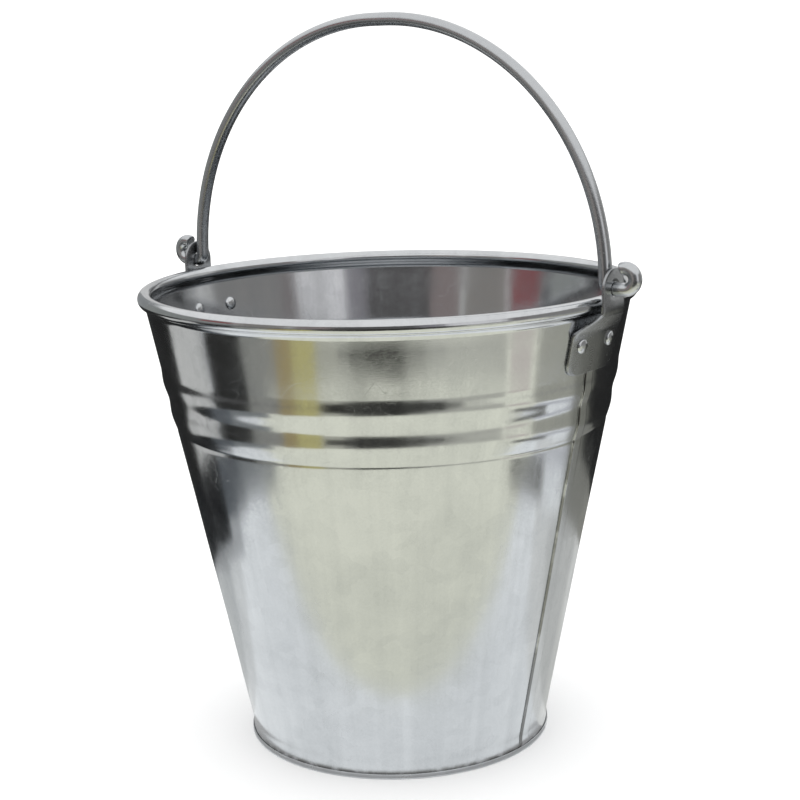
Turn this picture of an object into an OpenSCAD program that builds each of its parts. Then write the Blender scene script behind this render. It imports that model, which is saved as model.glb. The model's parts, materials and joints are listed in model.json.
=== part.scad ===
// Galvanised steel florist bucket with a swinging wire bail.
// The base stands on z = 0, the bucket's axis is Z, and the bail turns about a line along X.
// All sizes are in millimetres.

/* [Bucket] */
// Outer diameter over the rim bead
rim_d = 280; // [200:1:360]
// Height from the floor to the top of the rim bead
height = 262; // [200:1:340]
// Outer diameter of the foot
base_d = 174; // [140:1:200]
// Thickness of the wall and base sheet
sheet_t = 0.6; // [0.4:0.1:1.2]

/* [Rim] */
// Diameter of the rolled rim bead
bead_d = 8; // [6:0.5:12]
// How far the bead stands out past the wall
bead_overhang = 3.2; // [2.5:0.1:4]
// Radius of the hollow under the bead
neck_r = 5; // [3:0.5:8]

/* [Ribs] */
// Number of swaged ribs round the wall
rib_count = 2; // [1:1:4]
// Height of one rib
rib_pitch = 18.2; // [12:0.2:24]
// How far a rib stands out of the wall
rib_depth = 0.8; // [0.5:0.1:3]

/* [Foot] */
// Height of the straight band at the foot
foot_h = 9; // [8:0.5:16]
// Height of the base panel above the floor
base_recess = 7.5; // [5:0.5:8]
// Height of the hem that the base panel folds up round the wall
hem_h = 3; // [2:0.5:4]

/* [Side seam] */
// Width of the lock seam
seam_w = 7.5; // [5:0.5:10]
// How far the lock seam stands out of the wall
seam_t = 0.9; // [0.5:0.1:1.1]

/* [Ears] */
// Thickness of the ear plate
ear_t = 1.5; // [1.4:0.1:2.5]
// Width of the tab that carries the bail
tab_w = 22; // [18:1:30]
// Gap between the rim bead and the tab
tab_gap = 3.5; // [1:0.1:5]
// Plate left below the rivets
ear_tail = 16; // [10:1:22]
// Plate left beside each rivet
ear_side = 9; // [7:0.5:14]

/* [Rivets] */
// Distance between the two rivets of an ear
rivet_spacing = 28; // [20:1:40]
// Depth of the rivets below the top of the rim
rivet_drop = 24; // [22:1:30]
// Diameter of the rivet shank
rivet_d = 4; // [3:0.5:5]
// Diameter of the rivet heads
rivet_head_d = 8; // [7:0.5:10]
// Height of the rivet heads
rivet_head_h = 1.8; // [1:0.1:3]

/* [Bail] */
// Diameter of the bail wire
wire_d = 7.2; // [5:0.2:9]
// Inner diameter of the curl at each end of the wire
curl_hole_d = 3.8; // [2:0.2:6]
// How far each curl turns from the bottom of its circle
curl_angle = 205; // [150:5:210]
// Inner radius of the bend where the wire turns out through the ear
elbow_in_r = 0.4; // [0.2:0.1:0.5]
// Straight length of wire at the top of the bail
grip_flat = 8; // [2:1:60]

/* [Clearances] */
// Gap between sheets folded together
sheet_gap = 0.05; // [0.02:0.01:0.1]
// Gap round the wire inside the rim bead
bead_gap = 0.1; // [0.05:0.05:0.3]
// Gap round a rivet's shank and under its heads
rivet_gap = 0.08; // [0.06:0.01:0.15]
// Radial gap round the bail wire in its hole
pivot_gap = 0.4; // [0.3:0.05:1]
// Gap between the bail wire and the face of the tab
side_gap = 0.6; // [0.6:0.1:1]
// Gap between the bail and the rim when it lies down
rim_gap = 0.6; // [0.4:0.1:2]

/* [Hidden] */
$fn = 180;
wire_fn = 48;

galvanised = "lightsteelblue";
bare_steel = "silver";
wire_steel = "darkgray";

rim_r = rim_d / 2;
bead_r = bead_d / 2;
wire_r = wire_d / 2;

// Rim bead: the middle of its round section
bead_mid_r = rim_r - bead_r;
bead_z = height - bead_r;

// Foot: the wall stands between the base panel's flange and its hem
base_r = base_d / 2;
foot_r = base_r - sheet_t - sheet_gap;
flange_r = foot_r - sheet_t - sheet_gap;

// Wall: a cone from the foot band to the middle of the bead
wall_top_r = rim_r - bead_overhang;
wall_slope = (wall_top_r - foot_r) / (bead_z - foot_h);
wall_tilt = atan(wall_slope);

// Rivets and ears
rivet_z = height - rivet_drop;
ear_bottom_z = rivet_z - ear_tail;
bend_low_z = rivet_z + rivet_head_d / 2 + 3;
bend_high_z = height - bead_d;
tab_in_r = rim_r + tab_gap;
ear_w = rivet_spacing + 2 * ear_side;
ear_corner_r = 7;
tab_r = tab_w / 2;

// Ribs start just below the ears
rib_margin = 1.5;
rib_top_z = ear_bottom_z - rib_margin;
rib_bottom_z = rib_top_z - rib_count * rib_pitch;
rib_steps = 16;

// Bail: its hinge line is just high enough for it to lie down on the rim
pivot_z = height + wire_r + rim_gap;
leg_x = tab_in_r - side_gap - wire_r;
elbow_r = wire_r + elbow_in_r;
elbow_x = leg_x + elbow_r;
arch_r = leg_x - grip_flat / 2;
arch_z = pivot_z + elbow_r;
curl_r = wire_r + curl_hole_d / 2;
curl_x = tab_in_r + ear_t + curl_r + side_gap;

// Outer radius of the plain wall at height z
function cone_r(z) = z <= foot_h ? foot_r : foot_r + (z - foot_h) * wall_slope;

// How far the ribs push the wall out at height z
function rib_rise(z) =
    z <= rib_bottom_z || z >= rib_top_z ? 0
    : rib_depth / 2 * (1 - cos(360 * (rib_top_z - z) / rib_pitch));

function wall_r(z) = cone_r(z) + rib_rise(z);

// Heights at which the wall's outline has a point between low and high
function wall_levels(low, high) = concat(
    [low, foot_h],
    [for (i = [0 : rib_count * rib_steps]) rib_bottom_z + i * rib_pitch / rib_steps],
    [high]
);

// A skin that follows the wall, between two offsets from its outer face
module wall_band(inner, outer, low, high) {
    levels = wall_levels(low, high);
    last = len(levels) - 1;
    polygon(concat(
        [for (z = levels) [wall_r(z) + outer, z]],
        [for (i = [last : -1 : 0]) [wall_r(levels[i]) + inner, levels[i]]]
    ));
}

// Solid corner between the wall and the bead, hollowed by a round of neck_r
module neck_fillet() {
    along = [sin(wall_tilt), cos(wall_tilt)];
    outward = [cos(wall_tilt), -sin(wall_tilt)];
    bead = [bead_mid_r, bead_z];
    inset = (wall_top_r - bead_mid_r) * cos(wall_tilt);
    reach = neck_r + inset;
    drop = sqrt(pow(neck_r + bead_r, 2) - pow(reach, 2));
    hollow = bead + reach * outward - drop * along;
    difference() {
        polygon([bead, hollow, hollow - (neck_r + sheet_t / 2) * outward]);
        translate(hollow) circle(neck_r);
    }
}

// Half of the wall's section: sheet, rolled bead and the blend between them
module wall_section() {
    difference() {
        union() {
            wall_band(-sheet_t, 0, sheet_t + sheet_gap, bead_z);
            translate([bead_mid_r, bead_z]) circle(bead_r, $fn = wire_fn);
            neck_fillet();
        }
        translate([bead_mid_r, bead_z]) circle(bead_r - sheet_t, $fn = wire_fn);
    }
}

// Lock seam down the wall, with extra all round for the pieces that clear it
module side_seam(extra) {
    low = hem_h + 0.5;
    high = bead_z - bead_r - neck_r;
    intersection() {
        rotate_extrude() wall_band(-sheet_t / 2, seam_t + extra, low, high);
        translate([0, -seam_w / 2 - extra, 0]) cube([rim_r, seam_w + 2 * extra, height]);
    }
}

// Places a child on the wall at a rivet, with +Z out of the wall
module at_rivet(side) {
    r = wall_r(rivet_z);
    rotate([0, 0, side * asin(rivet_spacing / 2 / r)])
        translate([r, 0, rivet_z])
            rotate([0, 90 + wall_tilt, 0])
                children();
}

module rivet_holes() {
    depth = 4 * (ear_t + sheet_t);
    for (side = [-1, 1])
        at_rivet(side) cylinder(r = rivet_d / 2 + rivet_gap, h = depth, center = true, $fn = wire_fn);
}

module wall_shell() {
    color(galvanised)
    difference() {
        union() {
            rotate_extrude() wall_section();
            side_seam(0);
        }
        rivet_holes();
        rotate([0, 0, 180]) rivet_holes();
    }
}

module rim_wire() {
    color(bare_steel)
    rotate_extrude()
        translate([bead_mid_r, bead_z]) circle(bead_r - sheet_t - bead_gap, $fn = wire_fn);
}

// Base panel: raised disc, flange down inside the wall, and a hem folded up outside it
module base_pan() {
    hem_r = foot_r + sheet_gap;
    inner_r = flange_r - sheet_t;
    color(galvanised)
    rotate_extrude()
        polygon([
            [0, base_recess - sheet_t], [inner_r, base_recess - sheet_t], [inner_r, 0],
            [base_r, 0], [base_r, hem_h], [hem_r, hem_h], [hem_r, sheet_t],
            [flange_r, sheet_t], [flange_r, base_recess], [0, base_recess]
        ]);
}

// Section of the ear: flat on the wall, bent out under the bead, then straight up
module ear_section() {
    in_low = cone_r(ear_bottom_z) + sheet_gap;
    in_bend = cone_r(bend_low_z) + sheet_gap;
    out_low = in_low + ear_t;
    out_drop = ear_t / 2;
    out_bend = in_bend + ear_t - out_drop * wall_slope;
    top = pivot_z + tab_r;
    polygon([
        [in_low, ear_bottom_z], [in_bend, bend_low_z],
        [tab_in_r, bend_high_z], [tab_in_r, top],
        [tab_in_r + ear_t, top], [tab_in_r + ear_t, bend_high_z - out_drop],
        [out_bend, bend_low_z - out_drop], [out_low, ear_bottom_z]
    ]);
}

// Outline of the ear seen from the side: wide plate, sloping shoulders, round-topped tab
module ear_outline() {
    half = ear_w / 2;
    corner_y = half - ear_corner_r;
    corner_z = ear_bottom_z + ear_corner_r;
    union() {
        translate([0, pivot_z]) circle(tab_r, $fn = 96);
        polygon([
            [-corner_y, ear_bottom_z], [corner_y, ear_bottom_z], [corner_y, corner_z],
            [half, corner_z], [half, bend_low_z], [tab_r, bend_high_z], [tab_r, pivot_z],
            [-tab_r, pivot_z], [-tab_r, bend_high_z], [-half, bend_low_z], [-half, corner_z],
            [-corner_y, corner_z]
        ]);
        for (side = [-1, 1])
            translate([side * corner_y, corner_z]) circle(ear_corner_r, $fn = 96);
    }
}

module ear() {
    difference() {
        intersection() {
            rotate_extrude() ear_section();
            rotate([90, 0, 90]) linear_extrude(rim_d) ear_outline();
        }
        translate([rim_r - bead_d, 0, pivot_z])
            rotate([0, 90, 0]) cylinder(r = wire_r + pivot_gap, h = 3 * bead_d, $fn = wire_fn);
        rivet_holes();
        side_seam(2 * sheet_gap);
    }
}

module ear_right() {
    color(galvanised) ear();
}

module ear_left() {
    color(galvanised) rotate([0, 0, 180]) ear();
}

// Domed head standing on its flat underside at z = 0
module rivet_head() {
    dome_r = (pow(rivet_head_d / 2, 2) + pow(rivet_head_h, 2)) / (2 * rivet_head_h);
    rotate_extrude($fn = wire_fn)
        intersection() {
            translate([0, rivet_head_h - dome_r]) circle(dome_r);
            square([rivet_head_d, rivet_head_h + 1]);
        }
}

// Rivet through the wall and the ear plate, headed on both sides
module rivet(side) {
    outer_z = ear_t + sheet_gap + rivet_gap;
    inner_z = -sheet_t - rivet_gap;
    color(bare_steel)
    at_rivet(side) {
        translate([0, 0, inner_z]) cylinder(d = rivet_d, h = outer_z - inner_z, $fn = wire_fn);
        translate([0, 0, outer_z]) rivet_head();
        translate([0, 0, inner_z]) mirror([0, 0, 1]) rivet_head();
    }
}

module rivet_right_front() {
    rivet(-1);
}

module rivet_right_rear() {
    rivet(1);
}

module rivet_left_front() {
    rotate([0, 0, 180]) rivet(1);
}

module rivet_left_rear() {
    rotate([0, 0, 180]) rivet(-1);
}

// Bent length of wire in the XZ plane, about a centre, from one angle through a sweep
module wire_bend(x, z, bend_r, from, sweep) {
    translate([x, 0, z]) rotate([90, 0, 0]) rotate([0, 0, from])
        rotate_extrude(angle = sweep) translate([bend_r, 0]) circle(wire_r, $fn = wire_fn);
}

// Straight length of wire along X
module wire_straight(x, z, length) {
    translate([x, 0, z]) rotate([0, 90, 0]) cylinder(r = wire_r, h = length, $fn = wire_fn);
}

// Half of the bail: quarter arch, elbow out through the ear, straight pin, then the curl
module bail_half() {
    wire_bend(grip_flat / 2, arch_z, arch_r, 0, 90);
    wire_bend(elbow_x, arch_z, elbow_r, 180, 90);
    wire_straight(elbow_x, pivot_z, curl_x - elbow_x);
    wire_bend(curl_x, pivot_z + curl_r, curl_r, -90, curl_angle);
}

module bail() {
    color(wire_steel)
    union() {
        wire_straight(-grip_flat / 2, arch_z + arch_r, grip_flat);
        bail_half();
        rotate([0, 0, 180]) bail_half();
    }
}

wall_shell();
rim_wire();
base_pan();
ear_left();
ear_right();
rivet_left_front();
rivet_left_rear();
rivet_right_front();
rivet_right_rear();
bail();
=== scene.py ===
import json
import math

import bmesh
import bpy
import numpy as np
from mathutils import Matrix, Vector


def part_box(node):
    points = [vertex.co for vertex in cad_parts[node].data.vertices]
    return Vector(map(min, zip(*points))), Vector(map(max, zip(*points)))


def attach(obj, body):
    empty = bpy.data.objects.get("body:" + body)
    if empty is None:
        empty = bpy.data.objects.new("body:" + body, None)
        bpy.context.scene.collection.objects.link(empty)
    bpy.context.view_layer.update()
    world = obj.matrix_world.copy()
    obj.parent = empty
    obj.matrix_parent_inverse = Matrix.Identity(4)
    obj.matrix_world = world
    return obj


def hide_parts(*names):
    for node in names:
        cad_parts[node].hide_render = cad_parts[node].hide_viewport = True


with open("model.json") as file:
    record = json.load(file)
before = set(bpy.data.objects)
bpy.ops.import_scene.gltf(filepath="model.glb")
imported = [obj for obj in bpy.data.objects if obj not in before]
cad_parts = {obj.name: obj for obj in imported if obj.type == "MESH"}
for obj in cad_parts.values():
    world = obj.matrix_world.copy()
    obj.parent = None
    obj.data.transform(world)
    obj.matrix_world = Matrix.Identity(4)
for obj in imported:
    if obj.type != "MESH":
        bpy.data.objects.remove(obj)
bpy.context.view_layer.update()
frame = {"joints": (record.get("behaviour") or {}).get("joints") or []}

bl_info = {
    "name": "Florist Bucket",
    "version": (1, 0, 0),
    "blender": (4, 5, 0),
    "location": "View3D > Sidebar > Bucket",
    "description": "Builds the finished surfaces of a galvanised florist bucket and its bail",
    "category": "Add Mesh",
}

MM = 0.001
TOUCHING = 1e-6  # points closer than this, in metres, are one point
AROUND = 360  # points round the rim wire and the base panel
HALF_TURN = np.array([-1, -1, 1])  # the left ear and its rivets are the right ones turned by it
HINGE = frame["joints"][0]


# ---------------------------------------------------------------- sizes and colours

def length(name, description, default):
    """A length property in metres."""
    return bpy.props.FloatProperty(
        name=name, description=description, default=default, min=0.0, precision=5,
        subtype="DISTANCE", unit="LENGTH")


def colour(name, description, default):
    """A linear colour property."""
    return bpy.props.FloatVectorProperty(
        name=name, description=description, default=default, size=3, min=0.0, max=1.0,
        subtype="COLOR")


def angle(name, description, degrees):
    """An angle property, given in degrees."""
    return bpy.props.FloatProperty(
        name=name, description=description, default=math.radians(degrees), subtype="ANGLE")


def amount(name, description, default):
    """A plain number property from 0 up."""
    return bpy.props.FloatProperty(name=name, description=description, default=default, min=0.0)


class BucketSizes(bpy.types.PropertyGroup):
    """Sizes of the bucket's body."""
    rim_r: length("Rim radius", "Radius over the rim bead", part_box("wall_shell")[1].x)
    height: length("Height", "Floor to the top of the rim bead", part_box("wall_shell")[1].z)
    base_r: length("Base radius", "Radius of the foot over its hem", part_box("base_pan")[1].x)
    sheet_t: length("Sheet", "Thickness of the wall and base sheet", 0.6 * MM)
    sheet_gap: length("Fold gap", "Gap between sheets folded together", 0.05 * MM)
    bead_r: length("Bead radius", "Radius of the rolled rim bead", 4.0 * MM)
    bead_overhang: length("Bead overhang", "How far the bead stands out past the wall", 3.2 * MM)
    bead_gap: length("Bead gap", "Gap round the wire inside the rim bead", 0.1 * MM)
    neck_r: length("Neck radius", "Radius of the hollow under the bead", 5.0 * MM)
    fillet_r: length("Fillet", "Radius of the inner fillet under the bead", 4.0 * MM)
    rib_pitch: length("Rib height", "Height of one swaged rib", 18.2 * MM)
    rib_depth: length("Rib depth", "How far a rib stands out of the wall", 0.8 * MM)
    rib_count: bpy.props.IntProperty(name="Ribs", description="Number of ribs", default=2, min=1)
    crease_depth: length("Crease depth", "Depth of the roll crease below the ribs", 0.2 * MM)
    crease_w: length("Crease width", "Half width of the roll crease", 1.2 * MM)
    foot_h: length("Foot band", "Height of the straight band at the foot", 9.0 * MM)
    base_recess: length("Base recess", "Height of the base panel above the floor", 7.5 * MM)
    hem_h: length("Hem", "Height of the hem round the foot", 3.0 * MM)
    seam_w: length("Seam width", "Width of the side lock seam", 7.5 * MM)
    seam_t: length("Seam height", "How far the side seam stands out", 0.9 * MM)
    seam_drop: length("Seam drop", "Depth below the rim at which the side seam ends", 13.0 * MM)
    wave: length("Waviness", "Depth of the gentle waves in the wall sheet", 0.07 * MM)


class EarSizes(bpy.types.PropertyGroup):
    """Sizes of the ears and their rivets."""
    ear_t: length("Ear sheet", "Thickness of the ear plate", 1.5 * MM)
    tab_r: length("Tab radius", "Radius of the round-topped tab", 11.0 * MM)
    tab_gap: length("Tab gap", "Gap between the rim bead and the tab", 3.5 * MM)
    tail: length("Tail", "Plate left below the rivets", 16.0 * MM)
    side: length("Side", "Plate left beside each rivet", 9.0 * MM)
    hole_r: length("Hole radius", "Radius of the hole for the bail", 4.0 * MM)
    edge_r: length("Edge radius", "Rounding of the plate's sheared edges", 0.35 * MM)
    corner_r: length("Corner radius", "Radius of the plate's lower corners", 7.0 * MM)
    spacing: length("Rivet spacing", "Distance between an ear's rivets", 28.0 * MM)
    drop: length("Rivet drop", "Depth of the rivets below the rim", 24.0 * MM)
    head_r: length("Head radius", "Radius of the rivet heads", 4.0 * MM)
    head_h: length("Head height", "Height of the rivet heads", 1.8 * MM)
    rivet_gap: length("Rivet gap", "Gap under a rivet's heads", 0.08 * MM)


class BailSizes(bpy.types.PropertyGroup):
    """Sizes of the bail."""
    wire_r: length("Wire radius", "Radius of the bail wire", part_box("bail")[1].y)
    curl_r: length("Curl radius", "Radius to the middle of the wire in the end curls", 5.5 * MM)
    elbow_r: length("Elbow radius", "Radius to the middle of the wire at the elbows", 4.0 * MM)
    grip_flat: length("Grip flat", "Straight length at the top of the bail", 8.0 * MM)
    side_gap: length("Side gap", "Gap between the wire and the tab", 0.6 * MM)
    curl_angle: angle("Curl", "How far each end curl turns", 205.0)


class FinishColours(bpy.types.PropertyGroup):
    """Colours of the metal finishes and the stage."""
    zinc: colour("Zinc", "Bright galvanised sheet", (0.64, 0.655, 0.67))
    zinc_dull: colour("Dull zinc", "Zinc gone grey", (0.46, 0.475, 0.49))
    wire: colour("Wire", "Galvanised bail wire", (0.56, 0.575, 0.59))
    ear_dull: colour("Ear plate", "Older, darker zinc of the ears", (0.27, 0.275, 0.28))
    # Dark colour for the dirt along the seam edges and for the painted shade in the crease above
    # the hem.
    grime_and_shade: colour("Grime", "Dark dirt in creases", (0.10, 0.098, 0.09))
    floor: colour("Floor", "Pale studio floor", (0.86, 0.86, 0.86))


class StageSizes(bpy.types.PropertyGroup):
    """Camera and stage placing."""
    camera_azimuth: angle("Camera azimuth", "Turn of the camera round the bucket", 36.5)
    camera_distance: length("Camera distance", "Level distance to the bucket's axis", 0.963)
    camera_height: length("Camera height", "Height of the camera above the floor", 0.3975)
    camera_pitch: angle("Camera pitch", "How far the camera looks down", 11.994)
    camera_yaw: angle("Camera yaw", "How far the camera looks to the right", 0.295)
    camera_roll: angle("Camera roll", "Roll of the camera", -1.576)
    camera_fov: angle("Field of view", "Angle of view across the frame", 26.12)
    lamp_angle: angle("Lamp angle", "How wide the soft top light is", 110.0)
    lamp_strength: amount("Lamp strength", "Strength of the soft top light", 2.2)


# ---------------------------------------------------------------- mesh helpers

def grid_quads(rows, cols, wrap_rows=False, wrap_cols=False):
    """Quads between neighbouring rows and columns of a grid of points. A wrapped direction joins
    its last line of points back to its first."""
    r = np.arange(rows if wrap_rows else rows - 1)
    c = np.arange(cols if wrap_cols else cols - 1)
    r, c = np.meshgrid(r, c, indexing="ij")
    r2, c2 = (r + 1) % rows, (c + 1) % cols
    return np.stack([r * cols + c, r * cols + c2, r2 * cols + c2, r2 * cols + c], -1).reshape(-1, 4)


def join_grids(*grids):
    """One set of points and quads from several grids, each given as its points in rows and
    columns, and whether its rows and its columns wrap round."""
    points, quads, first = [], [], 0
    for grid, wrap_rows, wrap_cols in grids:
        quads.append(first + grid_quads(*grid.shape[:2], wrap_rows, wrap_cols))
        points.append(grid.reshape(-1, 3))
        first += len(points[-1])
    return np.concatenate(points), np.concatenate(quads)


def make_piece(name, points, quads, material, body, replaced):
    """Puts a closed surface in the scene as a smooth mesh of a named material, riding on its body
    in place of its CAD nodes. Points that meet are merged, and then every face is turned to the
    outside."""
    mesh = bpy.data.meshes.new(name)
    mesh.vertices.add(len(points))
    mesh.vertices.foreach_set("co", np.ascontiguousarray(points, dtype=np.float32).ravel())
    mesh.loops.add(quads.size)
    mesh.loops.foreach_set("vertex_index", np.ascontiguousarray(quads, dtype=np.int32).ravel())
    mesh.polygons.add(len(quads))
    mesh.polygons.foreach_set("loop_start", np.arange(len(quads), dtype=np.int32) * 4)
    mesh.polygons.foreach_set("use_smooth", np.ones(len(quads), dtype=bool))
    mesh.update(calc_edges=True)
    weld = bmesh.new()
    weld.from_mesh(mesh)
    bmesh.ops.remove_doubles(weld, verts=weld.verts, dist=TOUCHING)
    bmesh.ops.recalc_face_normals(weld, faces=weld.faces)
    weld.to_mesh(mesh)
    weld.free()
    mesh.materials.append(bpy.data.materials[material])
    piece = bpy.data.objects.new(name, mesh)
    bpy.context.scene.collection.objects.link(piece)
    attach(piece, body)
    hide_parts(*replaced)
    return piece


def arc(centre, radius, start, end, count):
    """Points of a circular arc in a plane, from one angle to another, both in degrees."""
    a = np.radians(np.linspace(start, end, count))
    return np.stack([centre[0] + radius * np.cos(a), centre[1] + radius * np.sin(a)], -1)


def line(start, end, count):
    """Evenly spaced points of a straight line, ends included."""
    return np.linspace(start, end, count)


def full_turn(count):
    """Evenly spaced angles of a whole turn, with the first not repeated at its end."""
    return line(0.0, 2 * np.pi, count + 1)[:-1]


def smooth_step(x, low, high):
    """0 below low, 1 above high, and an S-shaped cubic between them."""
    t = np.clip((x - low) / (high - low), 0.0, 1.0)
    return t * t * (3.0 - 2.0 * t)


def profile_path(*pieces):
    """One outline from several runs of points, with repeated points left out."""
    path = np.concatenate(pieces)
    step = np.linalg.norm(np.diff(path, axis=0), axis=1)
    return path[np.concatenate([[True], step > TOUCHING])]


def revolve(profile, columns):
    """Turns a closed outline of (radius, height) round Z at the given angles."""
    r, z = profile[:, :1], profile[:, 1:]
    return np.stack([r * np.cos(columns), r * np.sin(columns), z + 0 * columns], -1).reshape(-1, 3)


# ---------------------------------------------------------------- bucket shapes

def pivot_height():
    """Height of the bail's hinge line."""
    return HINGE["pos_m"][2]


def wall_numbers(s):
    """Derived sizes of the wall: its radius at the foot, the middle of its bead as (radius,
    height), its radius level with that, and its slope, both as a ratio and as an angle."""
    foot_r = s.base_r - s.sheet_t - s.sheet_gap
    bead = np.array([s.rim_r - s.bead_r, s.height - s.bead_r])
    top_r = s.rim_r - s.bead_overhang
    slope = (top_r - foot_r) / (bead[1] - s.foot_h)
    return foot_r, bead, top_r, slope, math.atan(slope)


def rib_zone(s, e):
    """Lowest and highest height of the ribs, which start just below the ears."""
    margin = 1.5 * MM
    top = s.height - e.drop - e.tail - margin
    return top - s.rib_count * s.rib_pitch, top


def wall_radius(s, e, z):
    """Outer radius of the wall at height z: a straight band, a cone blended into it over a few
    millimetres, raised-cosine ribs, and the faint crease the ribbing roll leaves below them, a
    bell curve."""
    foot_r, _, _, slope, _ = wall_numbers(s)
    blend, crease_rise = 1.2 * MM, 0.6 * MM
    above = z - s.foot_h
    cone = slope * 0.5 * (above + np.sqrt(above * above + blend * blend))
    low, high = rib_zone(s, e)
    inside = (z > low) & (z < high)
    rib = s.rib_depth / 2 * (1 - np.cos(2 * np.pi * (high - z) / s.rib_pitch))
    crease = s.crease_depth * np.exp(-((z - low - crease_rise) / s.crease_w) ** 2)
    return foot_r + cone + np.where(inside, rib, 0.0) - crease


def wall_outline(s, e):
    """Closed outline of the wall in (radius, height): up the outer face with its foot band and
    ribs, round the hollow neck and the bead, through a fillet that touches both the bead's circle
    and the wall's line, and down the inner face."""
    _, bead, top_r, _, tilt = wall_numbers(s)
    along = np.array([math.sin(tilt), math.cos(tilt)])
    outward = np.array([math.cos(tilt), -math.sin(tilt)])
    inset = (top_r - bead[0]) * math.cos(tilt)
    reach = s.neck_r + inset
    drop = math.sqrt((s.neck_r + s.bead_r) ** 2 - reach ** 2)
    hollow = bead + reach * outward - drop * along
    start = hollow - s.neck_r * outward
    to_bead = math.degrees(math.atan2(*(bead - hollow)[::-1]))
    from_wall = 180.0 - math.degrees(tilt)
    low, high = rib_zone(s, e)
    bottom = s.sheet_t + s.sheet_gap
    z_out = np.concatenate([
        line(bottom, s.foot_h - 2 * MM, 4), line(s.foot_h - 1.5 * MM, s.foot_h + 3 * MM, 8),
        line(s.foot_h + 6 * MM, low - 4 * MM, 12), line(low - 3 * MM, low, 7),
        line(low, high, 23 * s.rib_count + 1)[1:],
        line(high, start[1], 6)[1:]])
    outer = np.stack([wall_radius(s, e, z_out), z_out], -1)
    neck = arc(hollow, s.neck_r, from_wall, to_bead, 9)
    tuck_depth = 0.45 * MM
    groove = bead + s.bead_r * (hollow - bead) / np.linalg.norm(hollow - bead)
    lip = math.degrees(math.atan2(*(hollow - bead)[::-1]))
    tuck = arc(bead, s.bead_r - tuck_depth, lip + 2.5, lip + 5.5, 2)
    beside = (wall_radius(s, e, bead[1:])[0] - s.sheet_t - bead[0]) * math.cos(tilt)
    aside = s.fillet_r - beside
    fall = math.sqrt((s.fillet_r + s.bead_r) ** 2 - aside ** 2)
    turn = bead - aside * outward - fall * along
    under = math.degrees(math.atan2(*(bead - turn)[::-1]))
    ring = arc(bead, s.bead_r, lip + 8, 180 + under, 34)
    fillet = arc(turn, s.fillet_r, under, -math.degrees(tilt), 9)
    z_in = np.concatenate([
        line(fillet[-1, 1], high, 8)[1:], line(high, low, 16 * s.rib_count + 1)[1:],
        line(low, s.foot_h + 4 * MM, 10)[1:], line(s.foot_h + 2 * MM, bottom, 6)])
    inner = np.stack([wall_radius(s, e, z_in) - s.sheet_t, z_in], -1)
    return profile_path(outer, neck[:-1], groove[None], tuck, ring, fillet[1:], inner)


# Columns of the wall across its side seam, measured from the seam's middle where half its width is
# SEAM_LINES_HALF, and the number of columns round the rest of the wall.
SEAM_LINES = (-6.0, -4.6, -4.15, -3.9, -3.75, -3.6, -3.35, -2.9, -1.5, 0, 1.5, 2.6, 3.0, 3.4,
              3.75, 4.1, 4.6, 6.0)
SEAM_LINES_HALF = 3.75
PLAIN_COLUMNS = 448
# Gentle waves of the wall sheet: how many go round it, how fast they turn with height, their phase
# and their share of the depth.
SHEET_WAVES = ((7, 21, 0.7, 0.9), (13, -34, 2.1, 0.5), (23, 55, 4.0, 0.32), (41, -23, 0.0, 0.16),
               (3, 70, 1.3, 0.8))


def seam_columns(s, radius):
    """Angles of the wall's columns at each radius. Near the side seam they keep a constant distance
    from its middle, and the rest share the circle evenly."""
    near = np.array(SEAM_LINES) / SEAM_LINES_HALF * (s.seam_w / 2)
    radius = radius[:, None]
    first = near[-1] / radius
    last = 2 * np.pi + near[0] / radius
    t = line(0.0, 1.0, PLAIN_COLUMNS + 2)[1:-1][None]
    return np.concatenate([near[None] / radius, first + (last - first) * t], axis=1)


def wall_surface(s, e):
    """Points of the wall: its outline turned round Z, with the lock seam raised on the outside as a
    flat-topped band with one crisp and one soft edge, its fold a faint ridge on the inside, and
    a sum of sines as gentle waves in the plain sheet, which fade out at the foot and the rim."""
    outline = wall_outline(s, e)
    bead = wall_numbers(s)[1]
    r, z = outline[:, 0], outline[:, 1]
    columns = seam_columns(s, r)
    r2, z2 = r[:, None] + 0 * columns, z[:, None] + 0 * columns
    rising = (np.arange(len(r)) < np.argmax(z))[:, None]
    below_bead = z2 < bead[1] - s.bead_r
    half, top = s.seam_w / 2, s.height - s.seam_drop
    offset = np.where(columns < np.pi, columns, columns - 2 * np.pi) * r2
    band = smooth_step(offset, -half - 0.2 * MM, -half + 0.2 * MM)
    band = band * (1 - smooth_step(offset, half - 0.8 * MM, half + 0.3 * MM))
    tall = smooth_step(z2, s.hem_h + 0.2 * MM, s.hem_h + 1.2 * MM)
    tall = tall * (1 - smooth_step(z2, top - 4 * MM, top))
    crease = np.exp(-((offset + half + 0.25 * MM) / (0.25 * MM)) ** 2) * 0.12 * MM
    fold = np.exp(-((offset - half) / (0.3 * MM)) ** 2) * 0.2 * MM
    lift = np.where(rising, s.seam_t * band - crease, fold) * np.where(below_bead, tall, 0.0)
    calm = smooth_step(z2, 4 * MM, 30 * MM)
    calm = calm * (1 - smooth_step(z2, s.height - 37 * MM, s.height - 15 * MM))
    wave = sum(share * np.sin(waves * columns + climb * z2 + phase)
               for waves, climb, phase, share in SHEET_WAVES)
    r2 = r2 + lift + s.wave * wave * calm
    points = np.stack([r2 * np.cos(columns), r2 * np.sin(columns), z2], -1)
    return points.reshape(-1, 3), columns.shape


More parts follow.
